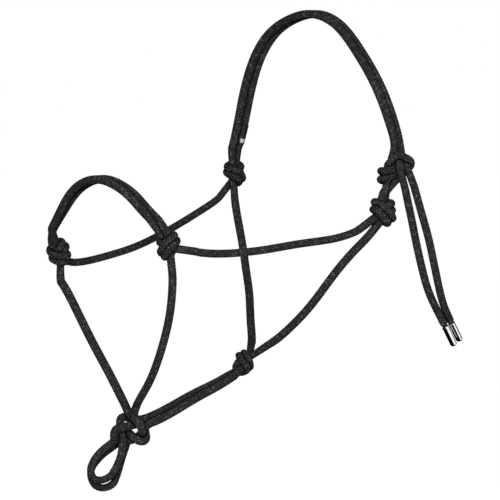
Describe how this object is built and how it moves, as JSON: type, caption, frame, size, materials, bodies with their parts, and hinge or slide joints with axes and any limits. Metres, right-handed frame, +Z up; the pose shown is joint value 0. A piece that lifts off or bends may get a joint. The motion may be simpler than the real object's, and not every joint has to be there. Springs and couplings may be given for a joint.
{
  "type": "rope halter",
  "caption": "Knotted rope headstall for a horse, with doubled noseband and crown, a tie on the cheek, tails with metal ends, and lead loops under the chin.",
  "frame": {"origin": "the underside of the crown at its highest point, where it rests on the horse's poll", "axes": "+Z up, the horse faces -Y, +X is the near (left) side of the head"},
  "size_m": [0.2175, 0.2945, 0.3706],
  "materials": {
    "rope": "braided, matt, dark charcoal",
    "label_sleeve": "smooth satin black",
    "ferrule": "polished"
  },
  "bodies": {
    "halter": {"crown_strand_front": "rope", "crown_strand_rear": "rope", "crown_tie": "rope", "tie_loop": "rope", "off_cheek_knot": "rope", "near_cheek_knot": "rope", "off_cheek_strand": "rope", "near_cheek_strand": "rope", "off_nose_knot": "rope", "near_nose_knot": "rope", "noseband_front": "rope", "noseband_rear": "rope", "off_chin_strand": "rope", "near_chin_strand": "rope", "off_throat_strand": "rope", "near_throat_strand": "rope", "throat_knot": "rope", "throat_lash_off": "rope", "throat_lash_near": "rope", "fiador_knot": "rope", "crown_label_sleeve": "label_sleeve"},
    "front_tail": {"tail_front": "rope", "ferrule_front": "ferrule"},
    "rear_tail": {"tail_rear": "rope", "ferrule_rear": "ferrule"},
    "near_lead_loop": {"lead_loop_near": "rope"},
    "off_lead_loop": {"lead_loop_off": "rope"}
  },
  "joints": [
    {"name": "tail_front_swing", "type": "hinge", "parent": "halter", "child": "front_tail", "pos_m": [0.103, 0.0105, -0.133], "axis": [1, 0, 0], "range_deg": [-12, 30]},
    {"name": "tail_rear_swing", "type": "hinge", "parent": "halter", "child": "rear_tail", "pos_m": [0.111, 0.013, -0.128], "axis": [1, 0, 0], "range_deg": [-12, 30]},
    {"name": "lead_loop_near_swing", "type": "hinge", "parent": "halter", "child": "near_lead_loop", "pos_m": [0.004, -0.1985, -0.3305], "axis": [1, 0, 0], "range_deg": [-20, 20]},
    {"name": "lead_loop_off_swing", "type": "hinge", "parent": "halter", "child": "off_lead_loop", "pos_m": [-0.004, -0.1935, -0.3355], "axis": [1, 0, 0], "range_deg": [-15, 14]}
  ]
}
